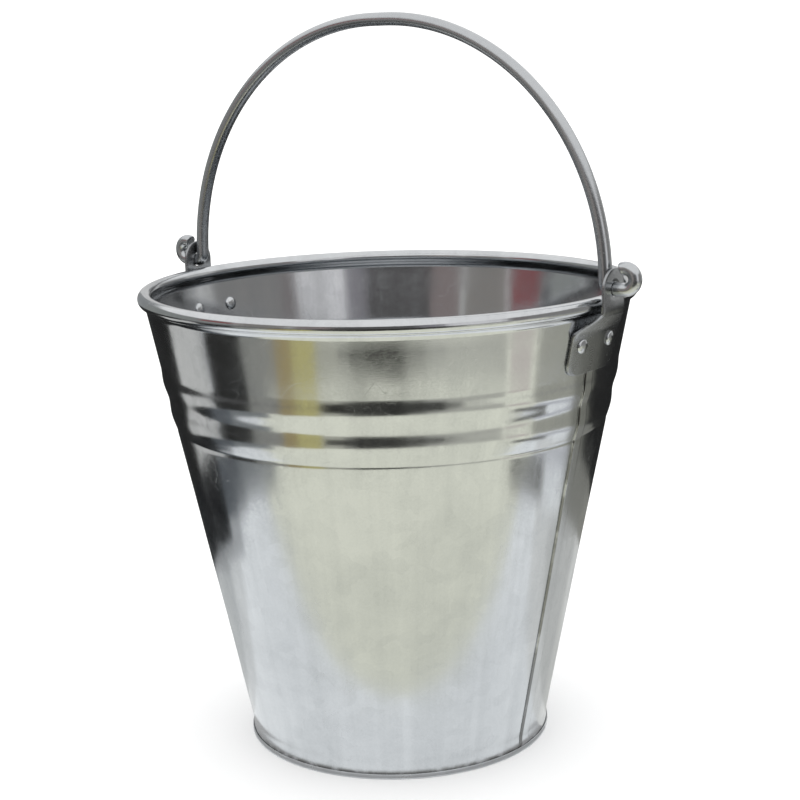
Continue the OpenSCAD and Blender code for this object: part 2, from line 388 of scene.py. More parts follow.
def base_outline(s):
    """Closed outline of the base panel: a disc, its flange down inside the wall, and the hem
    folded round the foot with rounded bends."""
    foot_r = s.base_r - s.sheet_t - s.sheet_gap
    hem_in = foot_r + s.sheet_gap
    flange = foot_r - s.sheet_t - s.sheet_gap
    inner = flange - s.sheet_t
    t, bend, tip, foot = s.sheet_t, 1.1 * MM, 0.28 * MM, 0.6 * MM
    top, under = s.base_recess, s.base_recess - s.sheet_t
    return profile_path(
        line((0.0, under), (inner - bend, under), 16),
        arc((inner - bend, under - bend), bend, 90, 0, 6),
        line((inner, under - bend), (inner, foot), 4),
        arc((inner + foot, foot), foot, 180, 270, 6),
        arc((s.base_r - foot, foot), foot, 270, 360, 6),
        line((s.base_r, foot), (s.base_r, s.hem_h - tip), 4),
        arc((s.base_r - tip, s.hem_h - tip), tip, 0, 90, 5),
        arc((hem_in + tip, s.hem_h - tip), tip, 90, 180, 5),
        line((hem_in, s.hem_h - tip), (hem_in, t), 3),
        line((flange, t), (flange, top - bend - t), 4),
        arc((flange - bend - t, top - bend - t), bend + t, 0, 90, 8),
        line((flange - bend - t, top), (0.0, top), 16))


def placed_on_wall(s, e, side, points):
    """Points set on the wall at one rivet: their Z turned to point out of the wall, then moved out
    to it and round to the rivet's angle."""
    z = s.height - e.drop
    foot_r, _, _, slope, tilt = wall_numbers(s)
    r = foot_r + (z - s.foot_h) * slope
    turn = Matrix.Rotation(side * math.asin(e.spacing / 2 / r), 4, "Z")
    out = turn @ Matrix.Translation((r, 0, z)) @ Matrix.Rotation(math.pi / 2 + tilt, 4, "Y")
    m = np.array(out)
    return points @ m[:3, :3].T + m[:3, 3]


def rivet_outline(s, e, seed):
    """Outline of a rivet in (radius, height) from the inner pole to the outer pole: a shank with a
    dome on each end, each with a small flat at its top and a rounded skirt."""
    rng = np.random.default_rng(seed)
    low = -s.sheet_t - e.rivet_gap
    high = e.ear_t + s.sheet_gap + e.rivet_gap

    def dome(flat):
        a = np.radians(line(0.0, 90.0, 14))
        r = e.head_r * np.sin(a) ** (1.0 + flat)
        h = e.head_h * (1 - flat * 0.6) * np.cos(a) ** 0.9
        return np.stack([r, h], -1)
    outer, inner = dome(rng.uniform(0.0, 0.12)), dome(rng.uniform(0.05, 0.2))
    shank, skirt = 2.0 * MM, 0.985 * e.head_r
    return profile_path(
        np.stack([inner[:, 0], low - inner[:, 1]], -1),
        [[skirt, low], [shank, low], [shank, high], [skirt, high]],
        np.stack([outer[::-1, 0], high + outer[::-1, 1]], -1))


def ear_heights(s, e):
    """Heights of an ear: its lower edge, the two bends of its neck and its pivot."""
    rivet_z = s.height - e.drop
    return rivet_z - e.tail, rivet_z + e.head_r + 3 * MM, s.height - 2 * s.bead_r, pivot_height()


def ear_radius(s, e, z, depth):
    """Distance from the axis of a point of the ear plate. The plate lies on the cone of the wall,
    bends out under the bead, then stands straight up; each bend is a straight line turned by a
    soft ramp. Depth is measured out from the inner face."""
    low, bend_low, bend_high, _ = ear_heights(s, e)
    foot_r, _, _, slope, _ = wall_numbers(s)
    # The outer face turns a little lower than the inner one, which keeps the plate's thickness.
    z = z + depth / 2 * smooth_step(z, bend_low - 5 * MM, bend_low - 1 * MM)
    start = foot_r + (low - s.foot_h) * slope + s.sheet_gap
    bend_r = start + (bend_low - low) * slope
    flare = (s.rim_r + e.tab_gap - bend_r) / (bend_high - bend_low)
    soft = 1.5 * MM

    def ramp(x):
        return 0.5 * (x + np.sqrt(x * x + soft * soft))
    return (start + (z - low) * slope + (flare - slope) * ramp(z - bend_low)
            - flare * ramp(z - bend_high) + depth)


def on_ear(s, e, flat, depth):
    """Points of the ear plate from flat (sideways, height) points and a depth: the plate is rolled
    round the bucket's axis, so a point moves in along X as it moves sideways."""
    y, z = flat[..., 0], flat[..., 1]
    r = ear_radius(s, e, z, depth)
    return np.stack([np.sqrt(r * r - y * y), y, z], -1)


def ear_layer(s, e, inset):
    """The flat outline of one layer of the ear plate, drawn in by inset at every edge. The tab is
    a fan of lines from the hole to its round-topped edge; the plate below is rows of points
    between its two sides. Returns the fan, the rows and the closed outer edge."""
    low, bend_low, bend_high, pivot = ear_heights(s, e)
    half, tab, corner = e.spacing / 2 + e.side, e.tab_r - inset, e.corner_r
    split, across = bend_high + 0.5 * MM, 15
    bottom = line((-tab, split), (tab, split), across)
    rim = np.concatenate([
        bottom, line((tab, split), (tab, pivot), 7)[1:],
        arc((0.0, pivot), tab, 0, 180, 33)[1:], line((-tab, pivot), (-tab, split), 7)[1:-1]])
    turn = np.arctan2(rim[:, 1] - pivot, rim[:, 0])
    hole = e.hole_r + inset
    ring = np.stack([hole * np.cos(turn), pivot + hole * np.sin(turn)], -1)
    steps = line(0.0, 1.0, 5)[:, None, None]
    fan = ring + steps * (rim - ring)
    z = np.concatenate([line(split, bend_low, 14), line(bend_low, low + corner, 12)[1:],
                        low + inset + (corner - inset) * (1 - np.sin(
                            np.radians(line(0.0, 90.0, 12)[1:])))])
    t = np.clip((bend_high - z) / (bend_high - bend_low), 0.0, 1.0)
    shoulder = 0.6 * t + 0.4 * t * t * (3 - 2 * t)
    width = tab + (half - e.tab_r) * shoulder
    drop = np.clip(low + corner - z, 0.0, corner - inset)
    width = width - (corner - inset) + np.sqrt((corner - inset) ** 2 - drop ** 2)
    rows = np.stack([width[:, None] * line(-1.0, 1.0, across), z[:, None] + np.zeros(across)], -1)
    edge = np.concatenate([rim[across - 1:], rows[:, 0], rows[-1, 1:], rows[-2::-1, -1][:-1]])
    return fan, rows, edge


def ear_surface(s, e):
    """Points and quads of the right ear: its inner and outer faces, and the rounded edges round
    the outline and the hole, which pass through six layers of the plate."""
    r, t = e.edge_r, e.ear_t
    depths = np.array([0.0, 0.29 * r, r, t - r, t - 0.29 * r, t])
    insets = np.array([r, 0.29 * r, 0.0, 0.0, 0.29 * r, r])
    layers = [ear_layer(s, e, inset) for inset in insets]
    grids = []
    for k in (0, -1):
        fan, rows, _ = layers[k]
        grids.append((on_ear(s, e, fan, depths[k]), False, True))
        grids.append((on_ear(s, e, rows, depths[k]), False, False))
    for part in (lambda layer: layer[2], lambda layer: layer[0][0]):
        loops = np.stack([on_ear(s, e, part(layer), d) for layer, d in zip(layers, depths)])
        grids.append((loops, False, True))
    return join_grids(*grids)


def bail_path(b, s, e):
    """Centre line of the bail in X and Z, from the left curl over the top to the right one: curl,
    pin, elbow, quarter arch and half of the flat top, then the same mirrored."""
    pivot = pivot_height()
    leg_x = s.rim_r + e.tab_gap - b.side_gap - b.wire_r
    elbow_x, arch_z = leg_x + b.elbow_r, pivot + b.elbow_r
    arch_r = leg_x - b.grip_flat / 2
    curl_x = s.rim_r + e.tab_gap + e.ear_t + b.curl_r + b.side_gap
    turn = math.degrees(b.curl_angle)
    half = profile_path(
        line((0.0, arch_z + arch_r), (b.grip_flat / 2, arch_z + arch_r), 3),
        arc((b.grip_flat / 2, arch_z), arch_r, 90, 0, 120),
        arc((elbow_x, arch_z), b.elbow_r, 180, 270, 14),
        line((elbow_x, pivot), (curl_x, pivot), 7),
        arc((curl_x, pivot + b.curl_r), b.curl_r, -90, turn - 90, 40))
    return np.concatenate([half[:0:-1] * [-1, 1], half])


def bail_surface(b, s, e, around=40):
    """A round tube along the bail's centre line. Each ring lies across the path, and the cut ends
    are closed by rings that shrink to a point over a small chamfer."""
    path = bail_path(b, s, e)
    tangent = np.gradient(path, axis=0)
    tangent /= np.linalg.norm(tangent, axis=1, keepdims=True)
    chamfer, middle = 0.5 * MM, slice(3, -3)
    shrink = np.array([0.0, 0.45, 0.86, 0.965, 1.0])
    slide = np.array([0.0, 0.0, 0.0, 0.3, 1.0]) * chamfer
    rings = len(shrink)
    path = np.concatenate([path[0] + slide[:, None] * tangent[0], path[middle],
                           path[-1] - slide[::-1, None] * tangent[-1]])
    tangent = np.concatenate([np.repeat(tangent[:1], rings, 0), tangent[middle],
                              np.repeat(tangent[-1:], rings, 0)])
    radius = b.wire_r * np.concatenate([shrink, np.ones(len(path) - 2 * rings), shrink[::-1]])
    side = np.stack([tangent[:, 1], -tangent[:, 0]], -1)
    a = full_turn(around)
    x = path[:, :1] + radius[:, None] * np.cos(a) * side[:, :1]
    z = path[:, 1:] + radius[:, None] * np.cos(a) * side[:, 1:]
    y = radius[:, None] * np.sin(a)
    return np.stack([x, y + 0 * x, z], -1).reshape(-1, 3), x.shape


# ---------------------------------------------------------------- materials

def new_group(name, inputs, outputs):
    """A new node group with named inputs, each with its kind and default, and named outputs.
    Returns its nodes, its input sockets and its output node."""
    tree = bpy.data.node_groups.new(name, "ShaderNodeTree")
    for socket, kind, default in inputs:
        added = tree.interface.new_socket(socket, in_out="INPUT", socket_type="NodeSocket" + kind)
        if default is not None:
            added.default_value = default
    for socket, kind in outputs:
        tree.interface.new_socket(socket, in_out="OUTPUT", socket_type="NodeSocket" + kind)
    n = Nodes(tree)
    return n, n.add("NodeGroupInput").outputs, n.add("NodeGroupOutput")


class Nodes:
    """Short ways to add and join nodes in one tree."""

    def __init__(self, tree):
        self.tree = tree

    def add(self, kind, **settings):
        """A new node with the given settings."""
        node = self.tree.nodes.new(kind)
        for key, value in settings.items():
            setattr(node, key, value)
        return node

    def link(self, source, target):
        self.tree.links.new(source, target)

    def feed(self, socket, value):
        """Joins another socket to this one, or sets it to a plain value."""
        if isinstance(value, bpy.types.NodeSocket):
            self.link(value, socket)
        else:
            socket.default_value = value

    def math(self, operation, a, b=None, c=None, clamp=False):
        """A number worked out from one, two or three others."""
        node = self.add("ShaderNodeMath", operation=operation, use_clamp=clamp)
        for socket, value in zip(node.inputs, (a, b, c)):
            if value is not None:
                self.feed(socket, value)
        return node.outputs[0]

    def vector(self, operation, a, b=None):
        """A vector worked out from one or two others, part by part."""
        node = self.add("ShaderNodeVectorMath", operation=operation)
        self.feed(node.inputs[0], a)
        if b is not None:
            self.feed(node.inputs[1], b)
        return node.outputs[0]

    def noise(self, vector, scale, detail=4.0, rough=0.5, distortion=0.0):
        """Noise between 0 and 1 at the given coordinates."""
        node = self.add("ShaderNodeTexNoise")
        self.feed(node.inputs["Vector"], vector)
        self.feed(node.inputs["Scale"], scale)
        self.feed(node.inputs["Detail"], detail)
        self.feed(node.inputs["Roughness"], rough)
        self.feed(node.inputs["Distortion"], distortion)
        return node.outputs["Fac"]

    def spread(self, value, low, high, out_low=0.0, out_high=1.0):
        """A smooth ramp from out_low to out_high as the value goes from low to high."""
        node = self.add("ShaderNodeMapRange", interpolation_type="SMOOTHSTEP")
        for socket, v in zip(node.inputs, (value, low, high, out_low, out_high)):
            self.feed(socket, v)
        return node.outputs[0]

    def mix(self, factor, a, b):
        """A colour between a and b."""
        node = self.add("ShaderNodeMix", data_type="RGBA")
        self.feed(node.inputs[0], factor)
        self.feed(node.inputs[6], a)
        self.feed(node.inputs[7], b)
        return node.outputs[2]


def zinc_skin_group():
    """Node group of galvanised zinc: crystal spangle from warped cells, long rolling streaks, fine
    grain, specks and cloudy dull patches, added up with their own weights. It puts out a tint, a
    roughness and a height."""
    n, given, out = new_group(
        "Zinc skin",
        (("Vector", "Vector", None), ("Along", "Vector", None), ("Spangle size", "Float", 110.0),
         ("Bright", "Color", (0.64, 0.655, 0.67, 1)), ("Dull", "Color", (0.46, 0.475, 0.49, 1)),
         ("Dulling", "Float", 0.3), ("Smooth", "Float", 0.12), ("Rough", "Float", 0.3)),
        (("Color", "Color"), ("Roughness", "Float"), ("Height", "Float")))
    at, along = given["Vector"], given["Along"]
    warp = n.add("ShaderNodeTexNoise")
    warp.inputs["Scale"].default_value = 140.0
    n.link(at, warp.inputs["Vector"])
    push = n.vector("MULTIPLY", warp.outputs["Color"], (0.006, 0.006, 0.006))
    cells = n.add("ShaderNodeTexVoronoi")
    n.link(n.vector("ADD", at, push), cells.inputs["Vector"])
    n.link(given["Spangle size"], cells.inputs["Scale"])
    tone = n.add("ShaderNodeSeparateColor")
    n.link(cells.outputs["Color"], tone.inputs[0])
    spangle = tone.outputs[0]
    streak = n.noise(along, 70.0, 6.0, 0.6)
    broad = n.noise(along, 16.0, 3.0, 0.5)
    cloud = n.noise(at, 22.0, 5.0, 0.62, 0.6)
    speck = n.noise(at, 900.0, 2.0, 0.5)
    fine = n.noise(n.vector("MULTIPLY", at, (1.0, 1.0, 9.0)), 260.0, 3.0, 0.65)
    dull = given["Dulling"]
    for mark, weight in ((streak, 0.8), (cloud, 1.0), (broad, 0.6), (spangle, 0.16),
                         (speck, 0.35)):
        dull = n.math("MULTIPLY_ADD", n.math("SUBTRACT", mark, 0.5), weight, dull,
                      clamp=mark is speck)
    n.link(n.mix(dull, given["Bright"], given["Dull"]), out.inputs["Color"])
    rough = n.math("MULTIPLY_ADD", dull, n.math("SUBTRACT", given["Rough"], given["Smooth"]),
                   given["Smooth"])
    rough = n.math("MULTIPLY_ADD", n.math("SUBTRACT", fine, 0.5), 0.10, rough, clamp=True)
    n.link(rough, out.inputs["Roughness"])
    height = n.math("MULTIPLY", n.math("SUBTRACT", spangle, 0.5), 0.10)
    for mark, weight in ((fine, 0.16), (streak, 0.5), (speck, 0.08)):
        height = n.math("MULTIPLY_ADD", mark, weight, height)
    n.link(height, out.inputs["Height"])


def scratches_group():
    """Node group of thin scratches: the narrow ridge lines of stretched noise, laid two ways."""
    n, given, out = new_group("Thin scratches", (("Vector", "Vector", None),
                                                 ("Amount", "Float", 0.5)), (("Mask", "Float"),))
    masks = []
    line_width = 0.006
    for turn, scale in (((0.3, 0.2, 0.9), 26.0), ((-0.5, 0.7, -0.4), 34.0)):
        place = n.add("ShaderNodeMapping")
        place.inputs["Rotation"].default_value = turn
        place.inputs["Scale"].default_value = (1.0, 6.0, 1.6)
        n.link(given["Vector"], place.inputs["Vector"])
        ridge = n.noise(place.outputs[0], scale, 1.0, 0.4, 0.3)
        away = n.math("ABSOLUTE", n.math("SUBTRACT", ridge, 0.5))
        masks.append(n.spread(away, 0.0, line_width, 1.0, 0.0))
    patch = n.spread(n.noise(given["Vector"], 30.0, 2.0), 0.48, 0.66)
    both = n.math("MAXIMUM", *masks)
    mask = n.math("MULTIPLY", n.math("MULTIPLY", both, patch), given["Amount"], clamp=True)
    n.link(mask, out.inputs["Mask"])


def round_coordinates(n, where, stretch):
    """Coordinates laid round the bucket's axis: the direction from the axis times a fixed radius,
    and the height squeezed by stretch, so that a noise runs up and down the wall."""
    radius = 0.13
    unit = n.vector("NORMALIZE", n.vector("MULTIPLY", where, (1.0, 1.0, 0.0)))
    ring = n.vector("MULTIPLY", unit, (radius, radius, 0.0))
    rise = n.vector("MULTIPLY", where, (0.0, 0.0, stretch))
    return n.vector("ADD", ring, rise)


def metal(name, grime_and_shade, bright, dull, dulling, smooth, rough, bump, stretch=0.06,
          spangle=110.0, low_dull=None, hem_shade=0.0, seam=None):
    """A galvanised metal material from the zinc skin and scratch groups, with its own values.
    stretch is how much the streaks are squeezed in height, or None for plain coordinates. low_dull
    gives two heights and the dulling at the lower one, hem_shade is how strongly painted shade
    darkens the crease above the hem, and seam gives the half width of the side seam, how dark the
    dirt along its two edges is, and the height where it ends."""
    material = bpy.data.materials.new(name)
    material.use_nodes = True
    n = Nodes(material.node_tree)
    shader = n.tree.nodes["Principled BSDF"]
    shader.inputs["Metallic"].default_value = 1.0
    where = n.add("ShaderNodeTexCoord").outputs["Object"]
    along = round_coordinates(n, where, stretch) if stretch else where
    skin = n.add("ShaderNodeGroup", node_tree=bpy.data.node_groups["Zinc skin"])
    n.link(where, skin.inputs["Vector"])
    n.link(along, skin.inputs["Along"])
    for socket, value in (("Spangle size", spangle), ("Bright", (*bright, 1)),
                          ("Dull", (*dull, 1)), ("Smooth", smooth), ("Rough", rough)):
        skin.inputs[socket].default_value = value
    marks = n.add("ShaderNodeGroup", node_tree=bpy.data.node_groups["Thin scratches"])
    n.link(where, marks.inputs["Vector"])
    place = n.add("ShaderNodeSeparateXYZ")
    n.link(where, place.inputs[0])
    x, y, z = place.outputs
    if low_dull:
        base = n.spread(z, *low_dull, dulling)
        n.link(base, skin.inputs["Dulling"])
    else:
        skin.inputs["Dulling"].default_value = dulling
    tint = skin.outputs["Color"]
    # Painted shade: the crease just above the hem is darkened towards the dark grime colour, in
    # blotches.
    if hem_shade:
        low = n.spread(z, 2.6 * MM, 6.0 * MM, hem_shade, 0.0)
        blotch = n.spread(n.noise(where, 160.0, 4.0), 0.3, 0.62)
        tint = n.mix(n.math("MULTIPLY", low, blotch), tint, (*grime_and_shade, 1))
    if seam:
        half, dirt, top = seam
        off = n.math("ABSOLUTE", n.math("SUBTRACT", n.math("ABSOLUTE", y), half))
        edge = n.spread(off, 0.25 * MM, 0.9 * MM, dirt, 0.0)
        edge = n.math("MULTIPLY", edge, n.spread(x, 50 * MM, 60 * MM))
        edge = n.math("MULTIPLY", edge, n.spread(z, top - 5 * MM, top, 1.0, 0.0))
        wear = n.spread(n.noise(where, 90.0, 4.0), 0.30, 0.55, 0.35, 1.0)
        tint = n.mix(n.math("MULTIPLY", edge, wear), tint, (*grime_and_shade, 1))
    tint = n.mix(n.math("MULTIPLY", marks.outputs["Mask"], 0.35), tint, (*dull, 1))
    n.link(tint, shader.inputs["Base Color"])
    rough_out = n.math("MULTIPLY_ADD", marks.outputs["Mask"], 0.2, skin.outputs["Roughness"],
                       clamp=True)
    n.link(rough_out, shader.inputs["Roughness"])
    relief = n.math("MULTIPLY_ADD", marks.outputs["Mask"], -0.5, skin.outputs["Height"])
    bump_node = n.add("ShaderNodeBump")
    bump_node.inputs["Strength"].default_value = bump
    bump_node.inputs["Distance"].default_value = 0.1 * MM
    n.link(relief, bump_node.inputs["Height"])
    n.link(bump_node.outputs[0], shader.inputs["Normal"])
    return material


# ---------------------------------------------------------------- operators

def settings():
    """The scene's bucket, ear, bail, colour and stage settings."""
    scene = bpy.context.scene
    return (scene.bucket_sizes, scene.ear_sizes, scene.bail_sizes, scene.finish_colours,
            scene.stage_sizes)


class BUCKET_OT_finishes(bpy.types.Operator):
    """Make the metal finishes and their node groups"""
    bl_idname = "bucket.finishes"
    bl_label = "Finishes"

    def execute(self, context):
        sizes, _, _, colours, _ = settings()
        zinc_skin_group()
        scratches_group()
        grime_and_shade, zinc, dull = colours.grime_and_shade, colours.zinc, colours.zinc_dull
        # The wall sheet gets painted shade in the crease above its hem, and dark dirt along the
        # edges of its seam.
        metal("Bright galvanised sheet", grime_and_shade, zinc, dull, dulling=0.18, smooth=0.12,
              rough=0.30, bump=0.30, low_dull=(90 * MM, 185 * MM, 0.45), hem_shade=0.85,
              seam=(sizes.seam_w / 2, 0.75, sizes.height - sizes.seam_drop))
        metal("Base galvanised sheet", grime_and_shade, zinc, dull, dulling=0.5, smooth=0.22,
              rough=0.40, bump=0.4, stretch=None)
        metal("Ear plate", grime_and_shade, dull, colours.ear_dull, dulling=0.5, smooth=0.18,
              rough=0.32, bump=0.4, stretch=0.5, spangle=260.0)
        metal("Rivet", grime_and_shade, zinc, dull, dulling=0.3, smooth=0.14,
              rough=0.28, bump=0.3, stretch=1.0, spangle=500.0)
        metal("Bail wire", grime_and_shade, colours.wire, dull, dulling=0.35, smooth=0.20,
              rough=0.34, bump=0.25, stretch=1.0, spangle=420.0)
        metal("Rim core wire", grime_and_shade, colours.wire, dull, dulling=0.6, smooth=0.3,
              rough=0.5, bump=0.5, stretch=1.0, spangle=300.0)
        return {"FINISHED"}


class BUCKET_OT_wall(bpy.types.Operator):
    """Make the wall sheet with its foot band, ribs, lock seam and rolled bead"""
    bl_idname = "bucket.wall"
    bl_label = "Wall"

    def execute(self, context):
        s, e = settings()[:2]
        points, shape = wall_surface(s, e)
        make_piece("bucket_wall", points, grid_quads(*shape, True, True),
                   "Bright galvanised sheet", "bucket", ["wall_shell"])
        return {"FINISHED"}


class BUCKET_OT_rim_core(bpy.types.Operator):
    """Make the wire rolled up inside the bead"""
    bl_idname = "bucket.rim_core"
    bl_label = "Rim wire"

    def execute(self, context):
        s = settings()[0]
        bead = wall_numbers(s)[1]
        ring = arc(bead, s.bead_r - s.sheet_t - s.bead_gap, 0, 360, 25)[:-1]
        make_piece("rim_core_wire", revolve(ring, full_turn(AROUND)),
                   grid_quads(len(ring), AROUND, True, True),
                   "Rim core wire", "bucket", ["rim_wire"])
        return {"FINISHED"}


class BUCKET_OT_base(bpy.types.Operator):
    """Make the base panel with its flange and hem"""
    bl_idname = "bucket.base"
    bl_label = "Base"

    def execute(self, context):
        s = settings()[0]
        outline = base_outline(s)
        make_piece("base_panel", revolve(outline, full_turn(AROUND)),
                   grid_quads(len(outline), AROUND, False, True),
                   "Base galvanised sheet", "bucket", ["base_pan"])
        return {"FINISHED"}


class BUCKET_OT_ears(bpy.types.Operator):
    """Make the two ears that carry the bail"""
    bl_idname = "bucket.ears"
    bl_label = "Ears"

    def execute(self, context):
        s, e = settings()[:2]
        points, quads = ear_surface(s, e)
        for side, turn in (("right", 1), ("left", HALF_TURN)):
            make_piece(f"ear_{side}_plate", points * turn, quads,
                       "Ear plate", "bucket", [f"ear_{side}"])
        return {"FINISHED"}


class BUCKET_OT_rivets(bpy.types.Operator):
    """Make the four rivets"""
    bl_idname = "bucket.rivets"
    bl_label = "Rivets"

    def execute(self, context):
        s, e = settings()[:2]
        around = 48
        ends = (("right", 1, "front", -1), ("right", 1, "rear", 1),
                ("left", HALF_TURN, "front", 1), ("left", HALF_TURN, "rear", -1))
        for seed, (end, turn, place, side) in enumerate(ends):
            outline = rivet_outline(s, e, seed)
            points = placed_on_wall(s, e, side, revolve(outline, full_turn(around))) * turn
            make_piece(f"rivet_{end}_{place}_set", points,
                       grid_quads(len(outline), around, False, True),
                       "Rivet", "bucket", [f"rivet_{end}_{place}"])
        return {"FINISHED"}


class BUCKET_OT_bail(bpy.types.Operator):
    """Make the bail"""
    bl_idname = "bucket.bail"
    bl_label = "Bail"

    def execute(self, context):
        s, e, b = settings()[:3]
        points, shape = bail_surface(b, s, e)
        make_piece("wire_bail", points, grid_quads(*shape, False, True),
                   "Bail wire", "bail", ["bail"])
        return {"FINISHED"}


# ---------------------------------------------------------------- stage

def glow(name, tint, strength):
    """An even light-giving material for a panel."""
    material = bpy.data.materials.new(name)
    material.use_nodes = True
    nodes = material.node_tree.nodes
    nodes.clear()
    light = nodes.new("ShaderNodeEmission")
    out = nodes.new("ShaderNodeOutputMaterial")
    light.inputs["Color"].default_value = (*tint, 1)
    light.inputs["Strength"].default_value = strength
    material.node_tree.links.new(light.outputs[0], out.inputs[0])
    return material


def stage_mesh(name, points, quads, material):
    """A stage object, which isn't part of the bucket."""
    mesh = bpy.data.meshes.new(name)
    mesh.from_pydata(points.tolist(), [], quads.tolist())
    mesh.materials.append(material)
    piece = bpy.data.objects.new(name, mesh)
    bpy.context.scene.collection.objects.link(piece)
    return piece


def reflected_panel(name, grid, tint, strength):
    """A glowing panel from its points in rows and columns. It is kept out of the camera's sight,
    and lights nothing but reflections."""
    panel = stage_mesh(name, grid.reshape(-1, 3), grid_quads(*grid.shape[:2]),
                       glow(name, tint, strength))
    panel.visible_camera = False
    panel.visible_diffuse = False
    panel.visible_shadow = False
    panel.visible_transmission = False


def camera_bearing():
    """Direction of the camera from the bucket, in degrees round from +X."""
    return math.degrees(settings()[4].camera_azimuth) - 90.0


def upright_panel(name, bearing, width, distance, low, high, tint, strength):
    """A curved upright panel round the bucket: bearing and width are angles from the camera's
    direction, in degrees, and distance is its radius from the axis."""
    a = np.radians(camera_bearing() + bearing + line(-width / 2, width / 2, 13))
    z = np.array([[low], [high]])
    points = np.stack([distance * np.cos(a) + 0 * z, distance * np.sin(a) + 0 * z,
                       z + 0 * a], -1)
    reflected_panel(name, points, tint, strength)


def floor_panel(name, inner, outer, start, end, height, tint, strength):
    """A flat panel just above the floor, part of a ring round the bucket, from one bearing to
    another in degrees from the camera's direction."""
    a = np.radians(camera_bearing() + line(start, end, 61))
    r = np.array([[inner], [outer]])
    points = np.stack([r * np.cos(a), r * np.sin(a), height + 0 * r * a], -1)
    reflected_panel(name, points, tint, strength)


def front_card(name, ahead, height, tint, strength):
    """A flat panel just above the floor that starts on a straight line ahead of the bucket, across
    the camera's direction."""
    half_width, far = 2.5, 3.0
    turn = np.array(Matrix.Rotation(settings()[4].camera_azimuth, 3, "Z"))
    corners = np.array([[(-half_width, -far, height), (half_width, -far, height)],
                        [(-half_width, -ahead, height), (half_width, -ahead, height)]])
    reflected_panel(name, corners @ turn.T, tint, strength)


# Height of the open floor's card, of the front card and of the first of FLOOR_CARDS, and how far
# each of those lies over the one before.
OPEN_LIFT, FRONT_LIFT, CARD_LIFT, CARD_STEP = 0.2 * MM, 0.3 * MM, 0.4 * MM, 0.1 * MM
# Flat cards just above the floor: inner and outer radius in metres, first and last bearing from
# the camera's direction in degrees, tint and strength. Later ones lie over earlier ones.
FLOOR_CARDS = (
    ("foot_shade", 0.0875, 0.094, -180, 180, (1.0, 1.0, 1.0), 0.45),
    ("left_low_start", 0.085, 0.30, -108, -94, (0.98, 1.0, 1.0), 0.84),
    ("left_low_side", 0.085, 0.30, -150, -108, (0.97, 1.0, 1.0), 0.64),
    ("left_low_last", 0.085, 0.30, -185, -150, (0.98, 1.0, 1.0), 0.84),
    ("right_low_start", 0.085, 0.34, 76, 90, (0.99, 1.0, 0.98), 0.86),
    ("right_low_side", 0.085, 0.34, 90, 128, (0.99, 1.0, 0.97), 0.66),
    ("right_low_end", 0.085, 0.34, 128, 150, (0.99, 1.0, 0.98), 0.76),
    ("right_low_last", 0.085, 0.34, 150, 175, (0.99, 1.0, 0.99), 0.90),
    ("far_floor_back", 0.46, 6.0, 100, 260, (1.0, 1.0, 1.0), 0.015),
    ("far_floor_left", 0.66, 6.0, -100, -30, (1.0, 1.0, 1.0), 0.16),
    ("far_floor_front", 0.60, 6.0, -31, 31, (1.0, 1.0, 0.9), 0.02),
    ("far_floor_right", 0.85, 6.0, 31, 100, (1.0, 1.0, 1.0), 0.30),
    ("left_low_soft", 0.29, 0.345, -150, -88, (0.95, 0.98, 1.0), 0.50),
    ("left_low_shade", 0.345, 0.47, -112, -80, (0.86, 0.95, 1.05), 0.13),
    ("left_low_mid", 0.36, 0.47, -82, -58, (0.92, 0.98, 1.0), 0.24),
    ("left_low_black", 0.315, 0.47, -165, -98, (0.9, 1.0, 1.1), 0.012),
    ("left_bright", 0.47, 0.80, -121, -93, (1.0, 1.0, 0.97), 0.64),
    ("left_dark", 0.47, 0.80, -92, -69, (1.0, 1.0, 0.95), 0.02),
    ("left_grey", 0.47, 0.80, -69, -51, (1.0, 1.0, 0.92), 0.30),
    ("warm_brown", 0.44, 0.80, -51, -43, (1.0, 0.80, 0.40), 0.38),
    ("warm_yellow", 0.45, 0.80, -43, -32, (1.0, 0.92, 0.40), 0.54),
    ("front_pale_left", 0.47, 0.60, -32, -22, (1.0, 1.0, 0.84), 0.46),
    ("front_grey_left", 0.48, 0.60, -22, -17, (1.0, 1.0, 0.88), 0.22),
    ("front_dark", 0.47, 0.80, -17, 7, (1.0, 1.0, 0.9), 0.03),
    ("front_grey_right", 0.48, 0.60, 7, 15, (1.0, 1.0, 0.9), 0.15),
    ("front_mid_right", 0.485, 0.60, 15, 24, (1.0, 1.0, 0.9), 0.40),
    ("front_pale_right", 0.49, 0.70, 24, 52, (1.0, 1.0, 0.88), 0.52),
    ("rosy_patch", 0.495, 0.575, 54, 66, (1.0, 0.90, 0.84), 0.64),
    ("right_grey", 0.50, 0.85, 69, 96, (1.0, 1.0, 0.86), 0.42),
    ("right_low_dark", 0.345, 0.40, 58, 80, (1.0, 1.0, 0.92), 0.16),
    ("right_low_pale", 0.40, 0.455, 70, 98, (0.96, 0.98, 1.04), 0.62),
    ("right_low_grey", 0.335, 0.455, 98, 165, (1.0, 1.0, 0.90), 0.26),
    ("right_shade", 0.455, 0.90, 96, 114, (1.0, 1.0, 0.86), 0.22),
)
